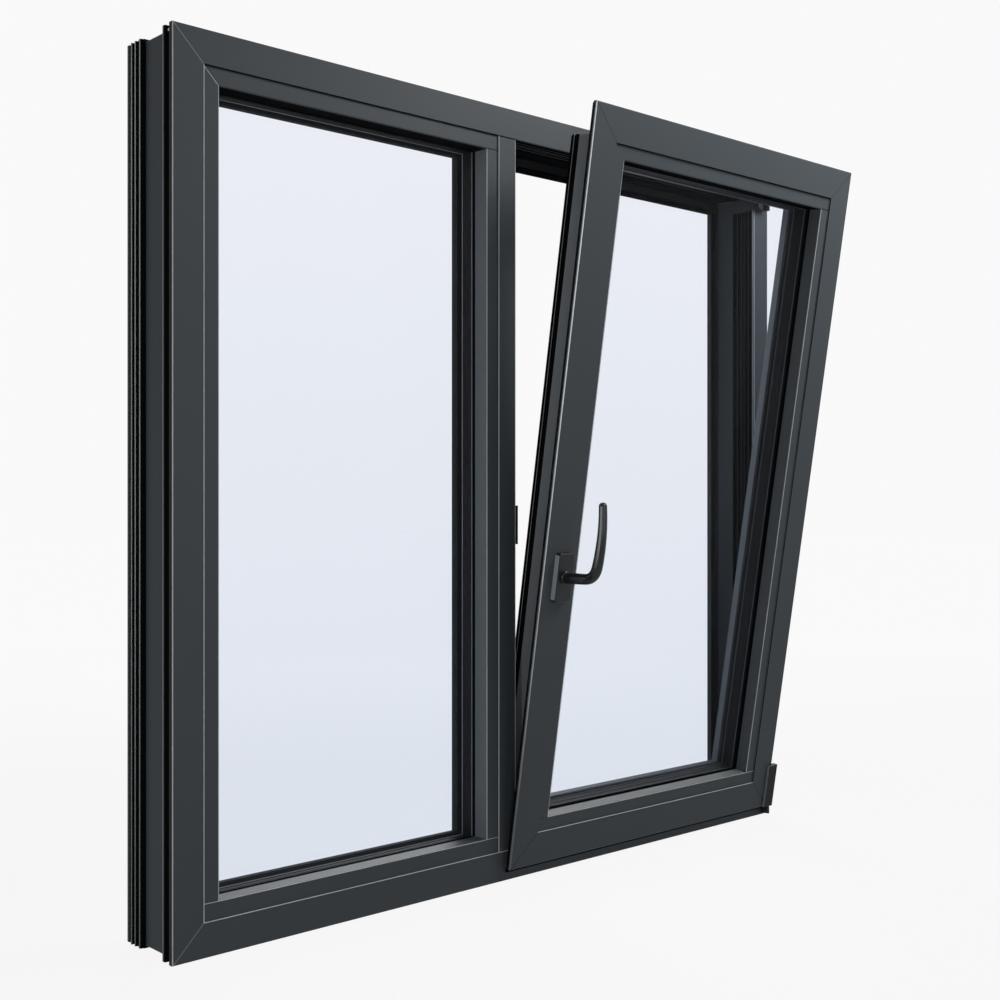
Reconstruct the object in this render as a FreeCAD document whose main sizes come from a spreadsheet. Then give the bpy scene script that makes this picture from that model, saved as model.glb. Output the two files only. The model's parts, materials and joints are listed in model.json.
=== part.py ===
import FreeCAD, Part
import math
import os
import Sketcher

os.makedirs("parts", exist_ok=True)
doc = FreeCAD.newDocument("tilt_turn_window")

# Driving dimensions in millimetres (angles in degrees).
# The window is drawn from its lower left corner: width along +X, depth along +Y from the
# room face of the frame, height along +Z. A member's section is drawn as depth by inset,
# where inset is counted inwards from the member's own outer edge.
driving = {
    "frame_width": 1210,
    "frame_height": 1150,
    "frame_depth": 117,
    "face_width": 44,
    "edge_break": 1.2,
    "lip_depth": 8,
    "body_setback": 6,
    "seal_depth": 12,
    "seal_inset": 3,
    "seal_floor": 14,
    "channel_wall": 5,
    "wall_inset": 0.5,
    "groove_inset": 14,
    "rib_inset": 2,
    "rib_gap": 4.6,
    "rib_wide": 7,
    "rib_middle": 5.6,
    "rib_narrow": 5,
    "leg_gap": 11,
    "leg_depth": 6,
    "leg_inset": 66,
    "outer_inset": 24,
    "mitre_margin": 6,
    "mullion_centre": 562,
    "mullion_width": 34,
    "bead_recess": 2,
    "bead_chamfer": 1.5,
    "fixed_bead_width": 22.5,
    "fixed_bead_depth": 28,
    "gasket_depth": 4,
    "gasket_lip": 1,
    "gasket_band": 10,
    "pane_depth": 6,
    "pane_gap": 24,
    "pane_seat": 6,
    "spacer_band": 11,
    "spacer_inset": 2,
    "rebate_gasket_depth": 6,
    "rebate_gasket_band": 8,
    "keep_depth": 20,
    "keep_thick": 4,
    "keep_height": 46,
    "keep_centre": 530,
    "keep_setback": 4,
    "overlap_side": 24,
    "overlap_bottom": 26,
    "overlap_top": 28,
    "lip_overhang": 38,
    "sash_proud": 15,
    "sash_depth": 80,
    "sash_lip_depth": 6,
    "sash_face": 50.5,
    "sash_bead_width": 20.5,
    "sash_bead_depth": 24,
    "sash_leg_depth": 12,
    "track_front": 26,
    "track_width": 16,
    "track_depth": 12,
    "track_wall": 5,
    "edge_seal_depth": 16,
    "edge_seal_seat": 3,
    "edge_seal_proud": 1.5,
    "overlap_gasket_depth": 5,
    "overlap_gasket_band": 8,
    "overlap_gasket_inset": 1.5,
    "tilt_angle": 9,
    "tilt_rise": 14,
    "hinge_offset": 5,
    "pin_radius": 1.6,
    "axle_radius": 1.8,
    "axle_bore_depth": 9,
    "pin_clearance": 0.06,
    "running_gap": 0.3,
    "knuckle_radius": 3,
    "knuckle_height": 30,
    "bracket_radius": 3.5,
    "bracket_height": 11,
    "bracket_foot": 4,
    "upper_bracket_height": 28,
    "cover_height": 76,
    "cover_lift": 1,
    "cover_lap": 12.5,
    "cover_proud": 5,
    "cover_wall": 1.2,
    "cover_gap": 1,
    "arm_reach": 400,
    "arm_width": 14,
    "arm_thick": 2.5,
    "arm_gap": 5.5,
    "arm_neck": 10,
    "arm_neck_height": 20,
    "arm_neck_thick": 2.4,
    "arm_neck_gap": 0.8,
    "arm_pin_radius": 4,
    "arm_pin_drop": 11,
    "handle_up": 442,
    "handle_inset": 37,
    "rosette_width": 33.5,
    "rosette_height": 73,
    "rosette_depth": 9,
    "rosette_corner": 6,
    "rosette_edge": 2,
    "collar_radius": 10,
    "collar_depth": 2,
    "handle_out": 68,
    "handle_bend": 26,
    "neck_lift": 9,
    "lever_lean": 7,
    "lever_length": 122,
    "grip_radius": 280,
    "neck_radius": 8.8,
    "neck_straight": 9,
    "grip_half_width": 7.6,
    "grip_half_thick": 6.8,
    "tip_round": 5,
}

sheet = doc.addObject("Spreadsheet::Sheet", "Sizes")
for row, (alias, number) in enumerate(driving.items(), start=1):
    sheet.set("A%d" % row, alias)
    sheet.set("B%d" % row, str(number))
    sheet.setAlias("B%d" % row, alias)
doc.recompute()


class Size:
    """A length that keeps its spreadsheet expression beside its number."""

    def __init__(self, text, number):
        self.text = text
        self.number = number

    def joined(self, sign, other, number):
        return Size("(%s %s %s)" % (self.text, sign, size_of(other).text), number)

    def __add__(self, other):
        return self.joined("+", other, self.number + size_of(other).number)

    def __sub__(self, other):
        return self.joined("-", other, self.number - size_of(other).number)

    def __mul__(self, other):
        return self.joined("*", other, self.number * size_of(other).number)

    def __truediv__(self, other):
        return self.joined("/", other, self.number / size_of(other).number)

    def __neg__(self):
        return Size("(-%s)" % self.text, -self.number)


def size_of(value):
    return value if isinstance(value, Size) else Size(repr(value), value)


def cell(alias):
    return Size("Sizes." + alias, float(sheet.get(alias)))


# Places worked out from the driving dimensions.
frame_width = cell("frame_width")
frame_height = cell("frame_height")
frame_depth = cell("frame_depth")
face_width = cell("face_width")
edge_break = cell("edge_break")
leg_inset = cell("leg_inset")
outer_inset = cell("outer_inset")
sash_proud = cell("sash_proud")
sash_depth = cell("sash_depth")
leg_front = sash_depth - sash_proud + cell("leg_gap")
leg_back = leg_front + cell("leg_depth")
mullion_left = cell("mullion_centre") - cell("mullion_width") / 2
mullion_right = cell("mullion_centre") + cell("mullion_width") / 2
sash_left = mullion_right - cell("overlap_side")
sash_right = frame_width - face_width + cell("overlap_side")
sash_bottom = face_width - cell("overlap_bottom")
sash_top = frame_height - face_width + cell("overlap_top")
sash_width = sash_right - sash_left
sash_height = sash_top - sash_bottom
sash_front = -sash_proud
sash_body = cell("lip_overhang")
sash_inset = cell("sash_face") + cell("sash_bead_width")
unit_depth = cell("pane_depth") * 2 + cell("pane_gap")
hinge_x = sash_right + cell("hinge_offset")
hinge_y = sash_front + cell("sash_lip_depth") / 2
tilt_z = sash_bottom + cell("tilt_rise")

# The flat band lies between the seal channel's back wall and the ribs, which are counted
# forwards from the back of the frame.
wall_front = cell("lip_depth") + cell("seal_depth")
band_front = wall_front + cell("channel_wall")
ribs = []
band_back = frame_depth
for width in ("rib_narrow", "rib_narrow", "rib_middle", "rib_wide"):
    ribs.insert(0, (band_back - cell(width), band_back))
    band_back = band_back - cell(width) - cell("rib_gap")

# The origin lies on the underside of the sill, at mid width and mid depth of its flat band.
origin = FreeCAD.Vector(
    frame_width.number / 2,
    (band_front.number + band_back.number) / 2,
    cell("body_setback").number,
)
to_origin = FreeCAD.Placement(-origin, FreeCAD.Rotation())
tilt_axis = FreeCAD.Vector(0, hinge_y.number, tilt_z.number)
tilt_turn = FreeCAD.Rotation(FreeCAD.Vector(1, 0, 0), cell("tilt_angle").number)
tilted = FreeCAD.Placement(FreeCAD.Vector(), tilt_turn, tilt_axis)
subparts = []


def place(part, label, corner, on_sash=False, turn=None):
    """Puts a finished sub-part at its corner, tilted with the sash where it rides on it."""
    spot = FreeCAD.Vector(*[size_of(value).number for value in corner])
    local = FreeCAD.Placement(spot, turn or FreeCAD.Rotation())
    part.Placement = to_origin * tilted * local if on_sash else to_origin * local
    part.Label = label
    subparts.append(part)


def new_sketch(body, role, name):
    plane = [item for item in body.Origin.OriginFeatures if item.Role == role][0]
    sketch = body.newObject("Sketcher::SketchObject", name)
    sketch.AttachmentSupport = [(plane, "")]
    sketch.MapMode = "FlatFace"
    return sketch


def bind(sketch, value, constraint):
    index = sketch.addConstraint(constraint)
    sketch.setExpression("Constraints[%d]" % index, value.text)


def pin_point(sketch, edge, across, up):
    """Ties an edge's first point to the sketch origin by two bound distances."""
    for kind, value, axis in (("DistanceX", across, -2), ("DistanceY", up, -1)):
        if size_of(value).number == 0:
            sketch.addConstraint(Sketcher.Constraint("PointOnObject", edge, 1, axis))
            continue
        bind(sketch, value, Sketcher.Constraint(kind, -1, 1, edge, 1, value.number))


def outline(sketch, corners):
    """Draws a closed outline of straight edges whose corners are all bound to the sheet."""
    points = [FreeCAD.Vector(size_of(a).number, size_of(b).number, 0) for a, b in corners]
    first = sketch.GeometryCount
    for index, point in enumerate(points):
        following = points[(index + 1) % len(points)]
        sketch.addGeometry(Part.LineSegment(point, following), False)
    for index in range(len(points)):
        following = first + (index + 1) % len(points)
        sketch.addConstraint(Sketcher.Constraint("Coincident", first + index, 2, following, 1))
    for index, (across, up) in enumerate(corners):
        pin_point(sketch, first + index, across, up)


def pad(body, sketch, length, name, backwards=False):
    feature = body.newObject("PartDesign::Pad", name)
    feature.Profile = sketch
    feature.Length = length.number
    feature.setExpression("Length", length.text)
    feature.Reversed = backwards
    sketch.Visibility = False
    return feature


def cut_through(body, sketch, name):
    feature = body.newObject("PartDesign::Pocket", name)
    feature.Profile = sketch
    feature.Type = "ThroughAll"
    feature.SideType = "Symmetric"
    sketch.Visibility = False
    return feature


def bar(label, section, length):
    """A straight extrusion along its own X whose section is depth by inset."""
    body = doc.addObject("PartDesign::Body", label)
    sketch = new_sketch(body, "YZ_Plane", label + "_section")
    outline(sketch, section)
    pad(body, sketch, length, label + "_pad")
    return body


def mitred_bar(label, section, length, reach, ends=("start", "end")):
    """A bar with the named ends cut at forty-five degrees, long side outwards."""
    body = bar(label, section, length)
    if not ends:
        return body
    sketch = new_sketch(body, "XZ_Plane", label + "_mitres")
    if "start" in ends:
        outline(sketch, [(0, 0), (0, reach), (reach, reach)])
    if "end" in ends:
        outline(sketch, [(length, 0), (length, reach), (length - reach, reach)])
    cut_through(body, sketch, label + "_mitre_cut")
    return body


def ring(label, width, height, band, depth):
    """A flat rectangular ring in the plane of the window, grown along +Y."""
    body = doc.addObject("PartDesign::Body", label)
    sketch = new_sketch(body, "XZ_Plane", label + "_outline")
    outline(sketch, [(0, 0), (width, 0), (width, height), (0, height)])
    right = width - band
    top = height - band
    outline(sketch, [(band, band), (right, band), (right, top), (band, top)])
    pad(body, sketch, depth, label + "_pad", backwards=True)
    return body


def box(name, width, depth, height):
    item = doc.addObject("Part::Box", name)
    for key, value in (("Length", width), ("Width", depth), ("Height", height)):
        item.setExpression(key, value.text)
    return item


def cylinder(name, radius, height):
    item = doc.addObject("Part::Cylinder", name)
    item.setExpression("Radius", radius.text)
    item.setExpression("Height", height.text)
    return item


def move(item, x, y, z, turn=None):
    spot = FreeCAD.Vector(*[size_of(value).number for value in (x, y, z)])
    item.Placement = FreeCAD.Placement(spot, turn or FreeCAD.Rotation())
    return item


def fuse(name, items):
    item = doc.addObject("Part::MultiFuse", name)
    item.Shapes = items
    item.Refine = True
    return item


def cut(name, base, tool):
    item = doc.addObject("Part::Cut", name)
    item.Base = base
    item.Tool = tool
    return item


along_y = FreeCAD.Vector(0, 1, 0)
level = FreeCAD.Rotation()
upside_down = FreeCAD.Rotation(along_y, 180)
going_down = FreeCAD.Rotation(along_y, 90)
going_up = FreeCAD.Rotation(along_y, -90)


# Outer frame: four mitred members with a room lip, a ribbed outer side and a stop leg.
def frame_section():
    groove = cell("groove_inset")
    corners = [
        (0, edge_break),
        (0, face_width - edge_break),
        (edge_break, face_width),
        (leg_front, face_width),
        (leg_front, leg_inset),
        (leg_back, leg_inset),
        (leg_back, outer_inset),
        (frame_depth, outer_inset),
    ]
    for start, end in reversed(ribs):
        corners.append((end, cell("rib_inset")))
        corners.append((start, cell("rib_inset")))
        corners.append((start, groove))
        corners.append((start - cell("rib_gap"), groove))
    corners.append((band_back, cell("body_setback")))
    corners.append((band_front, cell("body_setback")))
    corners.append((band_front, cell("wall_inset")))
    corners.append((wall_front, cell("wall_inset")))
    corners.append((wall_front, cell("seal_floor")))
    corners.append((cell("lip_depth"), cell("seal_floor")))
    corners.append((cell("lip_depth"), 0))
    corners.append((edge_break, 0))
    return corners


frame_reach = leg_inset + cell("mitre_margin")
for label, length, corner, turn in (
    ("frame_sill", frame_width, (0, 0, 0), level),
    ("frame_head", frame_width, (frame_width, 0, frame_height), upside_down),
    ("frame_left_jamb", frame_height, (0, 0, frame_height), going_down),
    ("frame_right_jamb", frame_height, (frame_width, 0, 0), going_up),
):
    place(mitred_bar(label, frame_section(), length, frame_reach), label, corner, turn=turn)

# Black seal that runs around the frame behind its room lip.
seal_inset = cell("seal_inset")
place(
    ring(
        "flange_seal",
        frame_width - seal_inset * 2,
        frame_height - seal_inset * 2,
        cell("seal_floor") - seal_inset,
        cell("seal_depth"),
    ),
    "flange_seal",
    (seal_inset, cell("lip_depth"), seal_inset),
)


# Mullion between the fixed light and the sash, notched over the stop legs at both ends.
def mullion():
    half = cell("mullion_width") / 2
    flank = half + leg_inset - face_width
    side = [
        (half - edge_break, 0),
        (half, edge_break),
        (half, leg_front),
        (flank, leg_front),
        (flank, leg_back),
    ]
    mirrored = [(-across, depth) for across, depth in reversed(side)]
    length = frame_height - face_width * 2
    body = doc.addObject("PartDesign::Body", "mullion")
    sketch = new_sketch(body, "XY_Plane", "mullion_section")
    outline(sketch, side + mirrored)
    pad(body, sketch, length, "mullion_pad")
    notches = new_sketch(body, "YZ_Plane", "mullion_notches")
    deep = leg_inset - face_width
    foot = [(leg_front, 0), (leg_front, deep), (leg_back, deep), (leg_back, 0)]
    outline(notches, foot)
    outline(notches, [(depth, length - size_of(rise)) for depth, rise in foot])
    cut_through(body, notches, "mullion_notch_cut")
    return body


place(mullion(), "mullion", (cell("mullion_centre"), 0, face_width))


# Glazing: beads, panes, spacer and gaskets, made the same way in both lights.
def bead_section(width, depth):
    recess = cell("bead_recess")
    chamfer = cell("bead_chamfer")
    return [
        (recess, 0),
        (recess, width - chamfer),
        (recess + chamfer, width),
        (depth, width),
        (depth, 0),
    ]


def glaze(light, corner, width, height, bead_width, bead_depth, leg, edge, on_sash):
    """Fills an opening whose corner is at the bead seam; leg is the depth of its stop leg."""
    left, front, bottom = [size_of(value) for value in corner]
    section = bead_section(bead_width, bead_depth)
    reach = bead_width + cell("mitre_margin")
    right = left + width
    top = bottom + height
    for side, length, spot, turn, ends in (
        ("bottom", width, (left, front, bottom), level, ()),
        ("top", width, (right, front, top), upside_down, ("end",)),
        ("left", height - bead_width, (left, front, top), going_down, ("start",)),
        ("right", height - bead_width * 2, (right, front, bottom + bead_width), going_up, ()),
    ):
        label = "%s_bead_%s" % (light, side)
        place(mitred_bar(label, section, length, reach, ends), label, spot, on_sash, turn)

    inner_face = bead_depth + cell("gasket_depth")
    outer_face = inner_face + unit_depth
    for name, depth_at in (
        ("inner", inner_face),
        ("outer", outer_face - cell("pane_depth")),
    ):
        label = "%s_%s_pane" % (light, name)
        pane = box(label, width - edge * 2, cell("pane_depth"), height - edge * 2)
        place(pane, label, (left + edge, front + depth_at, bottom + edge), on_sash)
    lap = bead_width + cell("gasket_lip") - cell("gasket_band")
    for name, inset, band, depth, depth_at in (
        ("spacer", edge + cell("spacer_inset"), cell("spacer_band"), cell("pane_gap"),
         inner_face + cell("pane_depth")),
        ("inner_gasket", lap, cell("gasket_band"), cell("gasket_depth"), bead_depth),
        ("outer_gasket", lap, cell("gasket_band"), leg - outer_face, outer_face),
    ):
        label = "%s_%s" % (light, name)
        piece = ring(label, width - inset * 2, height - inset * 2, band, depth)
        place(piece, label, (left + inset, front + depth_at, bottom + inset), on_sash)


glaze(
    "fixed",
    (face_width, 0, face_width),
    mullion_left - face_width,
    frame_height - face_width * 2,
    cell("fixed_bead_width"),
    cell("fixed_bead_depth"),
    leg_front,
    cell("pane_seat"),
    False,
)

# Seal on the front of the stop leg, around the sash opening.
stop = cell("rebate_gasket_band")
seal_left = mullion_right + leg_inset - face_width - stop
seal_bottom = leg_inset - stop
place(
    ring(
        "rebate_gasket",
        frame_width - leg_inset + stop - seal_left,
        frame_height - seal_bottom * 2,
        stop,
        cell("rebate_gasket_depth"),
    ),
    "rebate_gasket",
    (seal_left, leg_front - cell("rebate_gasket_depth"), seal_bottom),
)

# Striker plate for the locking cam, on the mullion's side of the rebate.
keep = box("mullion_keep", cell("keep_thick"), cell("keep_depth"), cell("keep_height"))
keep_foot = cell("keep_centre") - cell("keep_height") / 2
place(keep, "mullion_keep", (mullion_right, cell("keep_setback"), keep_foot))


# Sash: four mitred members whose lip laps over the frame, with a hardware track outside.
def sash_section():
    seat = sash_body + cell("track_depth") + cell("track_wall")
    leg = sash_depth - cell("sash_leg_depth")
    bead_back = cell("sash_bead_depth")
    track_back = cell("track_front") + cell("track_width")
    floor = sash_body + cell("track_depth")
    seal_front = sash_depth - cell("edge_seal_depth")
    seal_seat = sash_body + cell("edge_seal_seat")
    return [
        (0, edge_break),
        (0, cell("sash_face") - edge_break),
        (edge_break, cell("sash_face")),
        (bead_back, cell("sash_face")),
        (bead_back, seat),
        (leg, seat),
        (leg, sash_inset),
        (sash_depth, sash_inset),
        (sash_depth, seal_seat),
        (seal_front, seal_seat),
        (seal_front, sash_body),
        (track_back, sash_body),
        (track_back, floor),
        (cell("track_front"), floor),
        (cell("track_front"), sash_body),
        (cell("sash_lip_depth"), sash_body),
        (cell("sash_lip_depth"), 0),
        (edge_break, 0),
    ]


def bore_for_axle(stile):
    """Drills the tilt axle's blind hole into the edge of the hinge stile's lip."""
    sketch = new_sketch(stile, "XY_Plane", "axle_bore_circle")
    radius = cell("axle_radius") + cell("pin_clearance")
    rise = cell("tilt_rise")
    depth = cell("sash_lip_depth") / 2
    spot = FreeCAD.Vector(rise.number, depth.number, 0)
    sketch.addGeometry(Part.Circle(spot, FreeCAD.Vector(0, 0, 1), radius.number), False)
    bind(sketch, radius, Sketcher.Constraint("Radius", 0, radius.number))
    bind(sketch, rise, Sketcher.Constraint("DistanceX", -1, 1, 0, 3, rise.number))
    bind(sketch, depth, Sketcher.Constraint("DistanceY", -1, 1, 0, 3, depth.number))
    bore = stile.newObject("PartDesign::Pocket", "axle_bore")
    bore.Profile = sketch
    bore.Reversed = True
    bore.setExpression("Length", cell("axle_bore_depth").text)
    sketch.Visibility = False


sash_reach = sash_inset + cell("mitre_margin")
for label, length, corner, turn in (
    ("sash_bottom_rail", sash_width, (sash_left, sash_front, sash_bottom), level),
    ("sash_top_rail", sash_width, (sash_right, sash_front, sash_top), upside_down),
    ("sash_left_stile", sash_height, (sash_left, sash_front, sash_top), going_down),
    ("sash_right_stile", sash_height, (sash_right, sash_front, sash_bottom), going_up),
):
    member = mitred_bar(label, sash_section(), length, sash_reach)
    if turn == going_up:
        bore_for_axle(member)
    place(member, label, corner, True, turn)

sash_edge = sash_body + cell("track_depth") + cell("track_wall") - cell("sash_face")
glaze(
    "sash",
    (sash_left + cell("sash_face"), sash_front, sash_bottom + cell("sash_face")),
    sash_width - cell("sash_face") * 2,
    sash_height - cell("sash_face") * 2,
    cell("sash_bead_width"),
    cell("sash_bead_depth"),
    sash_depth - cell("sash_leg_depth"),
    sash_edge + cell("pane_seat") / 2,
    True,
)

# Seals that ride on the sash: one on the back of its lip, one on its outer edge.
for label, inset, band, depth, depth_at in (
    ("overlap_gasket", cell("overlap_gasket_inset"), cell("overlap_gasket_band"),
     cell("overlap_gasket_depth"), cell("sash_lip_depth")),
    ("sash_edge_seal", sash_body - cell("edge_seal_proud"),
     cell("edge_seal_proud") + cell("edge_seal_seat"), cell("edge_seal_depth"),
     sash_depth - cell("edge_seal_depth")),
):
    seal = ring(label, sash_width - inset * 2, sash_height - inset * 2, band, depth)
    place(seal, label, (sash_left + inset, sash_front + depth_at, sash_bottom + inset), True)


# Lower hinge: a footed pin on the frame, a knuckle that turns on it and carries the tilt
# axle, and a cover that rides on the sash.
pin_radius = cell("pin_radius")
hole_radius = pin_radius + cell("pin_clearance")
knuckle_radius = cell("knuckle_radius")
running_gap = cell("running_gap")
bracket_top = cell("bracket_foot") + cell("bracket_height")
knuckle_foot = bracket_top + running_gap


def hinge_bracket(label, foot, height, pin_foot, pin_height):
    radius = cell("bracket_radius")
    post = move(cylinder(label + "_post", radius, height), hinge_x, hinge_y, foot)
    web = move(box(label + "_web", radius * 2, -hinge_y, height), hinge_x - radius, hinge_y, foot)
    pin = move(cylinder(label + "_pin", pin_radius, pin_height), hinge_x, hinge_y, pin_foot)
    return fuse(label, [post, web, pin])


place(
    hinge_bracket(
        "lower_hinge_bracket",
        cell("bracket_foot"),
        cell("bracket_height"),
        bracket_top,
        cell("knuckle_height"),
    ),
    "lower_hinge_bracket",
    (0, 0, 0),
)


def knuckle():
    barrel = cylinder("knuckle_barrel", knuckle_radius, cell("knuckle_height"))
    move(barrel, hinge_x, hinge_y, knuckle_foot)
    reach = cell("hinge_offset") + cell("axle_bore_depth") - cell("cover_gap")
    axle = cylinder("knuckle_axle", cell("axle_radius"), reach)
    move(axle, hinge_x - reach, hinge_y, tilt_z, going_down)
    bore = cylinder("knuckle_bore", hole_radius, cell("knuckle_height"))
    move(bore, hinge_x, hinge_y, knuckle_foot)
    return cut("hinge_knuckle", fuse("knuckle_solid", [barrel, axle]), bore)


place(knuckle(), "hinge_knuckle", (0, 0, 0))


def hinge_cover():
    wall = cell("cover_wall")
    proud = cell("cover_proud")
    height = cell("cover_height")
    foot = sash_bottom + cell("cover_lift")
    front = sash_front - proud
    left = sash_right - cell("cover_lap")
    right = hinge_x + knuckle_radius + cell("cover_gap") + wall
    depth = hinge_y - front
    root = move(box("cover_root", cell("cover_lap"), proud, height), left, front, foot)
    face = move(box("cover_face", right - left, wall, height), left, front, foot)
    flank = move(box("cover_flank", wall, depth, height), right - wall, front, foot)
    cap = box("cover_cap", right - sash_right, depth, wall)
    move(cap, sash_right, front, foot + height - wall)
    return fuse("hinge_cover", [root, face, flank, cap])


place(hinge_cover(), "hinge_cover", (0, 0, 0), True)

# Upper hinge and the stay arm, which lies in the rebate when the sash is closed.
arm_under = sash_top - sash_body + cell("arm_gap")
arm_top = arm_under + cell("arm_thick")
barrel_foot = arm_top - cell("arm_neck_height")
place(
    hinge_bracket(
        "upper_hinge_bracket",
        arm_top + running_gap,
        cell("upper_bracket_height"),
        barrel_foot,
        cell("arm_neck_height") + running_gap,
    ),
    "upper_hinge_bracket",
    (0, 0, 0),
)

arm_depth = cell("track_front") + cell("track_width") / 2 - sash_proud
arm_offset = (arm_depth - hinge_y).number
arm_reach = cell("arm_reach").number
track_rise = (sash_top - sash_body - tilt_z - cell("track_depth") / 2).number
tilt = math.radians(cell("tilt_angle").number)
arm_out = track_rise * math.sin(tilt) - arm_offset * math.cos(tilt)
arm_swing = math.asin(arm_out / math.hypot(arm_reach, arm_offset))
arm_swing += math.atan2(arm_offset, arm_reach)


def stay_arm():
    """Drawn about its own turning axis, lying closed along the head."""
    thick = cell("arm_thick")
    plate = cell("arm_neck_thick")
    tall = cell("arm_neck_height")
    half_width = cell("arm_width") / 2
    shoulder = frame_width - face_width - cell("arm_neck") - hinge_x
    plate_front = -hinge_y - cell("arm_neck_gap") - plate
    blade_back = arm_depth - hinge_y + half_width
    barrel = move(cylinder("arm_barrel", knuckle_radius, tall), 0, 0, barrel_foot)
    web = move(box("arm_web", plate, plate_front + plate, tall), -plate / 2, 0, barrel_foot)
    neck = box("arm_neck_plate", plate / 2 - shoulder, plate, tall)
    move(neck, shoulder, plate_front, barrel_foot)
    crank = box("arm_crank", cell("arm_neck"), blade_back - plate_front, thick)
    move(crank, shoulder, plate_front, arm_under)
    tip = -cell("arm_reach") - half_width
    blade = box("arm_blade", shoulder + cell("arm_neck") - tip, cell("arm_width"), thick)
    move(blade, tip, blade_back - cell("arm_width"), arm_under)
    drop = cell("arm_gap") + cell("arm_pin_drop")
    pin = cylinder("arm_pin", cell("arm_pin_radius"), drop + thick / 2)
    move(pin, -cell("arm_reach"), arm_depth - hinge_y, arm_under - drop)
    solid = fuse("arm_solid", [barrel, web, neck, crank, blade, pin])
    bore = move(cylinder("arm_bore", hole_radius, tall), 0, 0, barrel_foot)
    return cut("stay_arm", solid, bore)


swung = FreeCAD.Rotation(FreeCAD.Vector(0, 0, 1), math.degrees(arm_swing))
place(stay_arm(), "stay_arm", (hinge_x, hinge_y, 0), turn=swung)

# Handle: a rosette on the left stile and a lever that points up while the sash is tilted.
handle_x = sash_left + cell("handle_inset")
handle_z = sash_bottom + cell("handle_up")


def round_off(body, base, radius, name, wanted):
    """Rounds the edges of a feature that pass the wanted test."""
    doc.recompute()
    names = []
    for index, edge in enumerate(base.Shape.Edges, start=1):
        if wanted(edge.BoundBox):
            names.append("Edge%d" % index)
    feature = body.newObject("PartDesign::Fillet", name)
    feature.Base = (base, names)
    feature.setExpression("Radius", radius.text)
    return feature


def rosette():
    body = doc.addObject("PartDesign::Body", "handle_rosette")
    sketch = new_sketch(body, "XZ_Plane", "rosette_outline")
    half_width = cell("rosette_width") / 2
    half_height = cell("rosette_height") / 2
    outline(
        sketch,
        [
            (-half_width, -half_height),
            (half_width, -half_height),
            (half_width, half_height),
            (-half_width, half_height),
        ],
    )
    depth = cell("rosette_depth")
    base = pad(body, sketch, depth, "rosette_pad")
    close = 0.01
    corners = round_off(
        body, base, cell("rosette_corner"), "rosette_corners",
        lambda room: abs(room.YLength - depth.number) < close,
    )
    round_off(
        body, corners, cell("rosette_edge"), "rosette_front_edge",
        lambda room: room.YMax < close - depth.number,
    )
    return body


place(rosette(), "handle_rosette", (handle_x, sash_front, handle_z), True)


def oval(sketch, wide, thick):
    """Draws a closed section with round ends about the sketch's origin."""
    flat = wide - thick
    left = FreeCAD.Vector(-flat.number, 0, 0)
    right = FreeCAD.Vector(flat.number, 0, 0)
    lift = FreeCAD.Vector(0, thick.number, 0)
    normal = FreeCAD.Vector(0, 0, 1)
    right_end = Part.Circle(right, normal, thick.number)
    left_end = Part.Circle(left, normal, thick.number)
    sketch.addGeometry(Part.LineSegment(left + lift, right + lift), False)
    sketch.addGeometry(Part.ArcOfCircle(right_end, -math.pi / 2, math.pi / 2), False)
    sketch.addGeometry(Part.LineSegment(right - lift, left - lift), False)
    sketch.addGeometry(Part.ArcOfCircle(left_end, math.pi / 2, math.pi * 1.5), False)
    for edge, end, other, other_end in ((0, 2, 1, 2), (1, 1, 2, 1), (2, 2, 3, 2), (3, 1, 0, 1)):
        sketch.addConstraint(Sketcher.Constraint("Tangent", edge, end, other, other_end))
    for end in (1, 3):
        sketch.addConstraint(Sketcher.Constraint("PointOnObject", end, 3, -1))
    bind(sketch, thick, Sketcher.Constraint("Radius", 1, thick.number))
    bind(sketch, flat, Sketcher.Constraint("DistanceX", -1, 1, 1, 3, flat.number))
    bind(sketch, flat, Sketcher.Constraint("DistanceX", 3, 3, -1, 1, flat.number))


def turned(function, alias):
    """A sine, cosine or tangent of a driving angle, kept as an expression."""
    number = getattr(math, function)(math.radians(cell(alias).number))
    return Size("%s(%s * 1 deg)" % (function, cell(alias).text), number)


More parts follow.
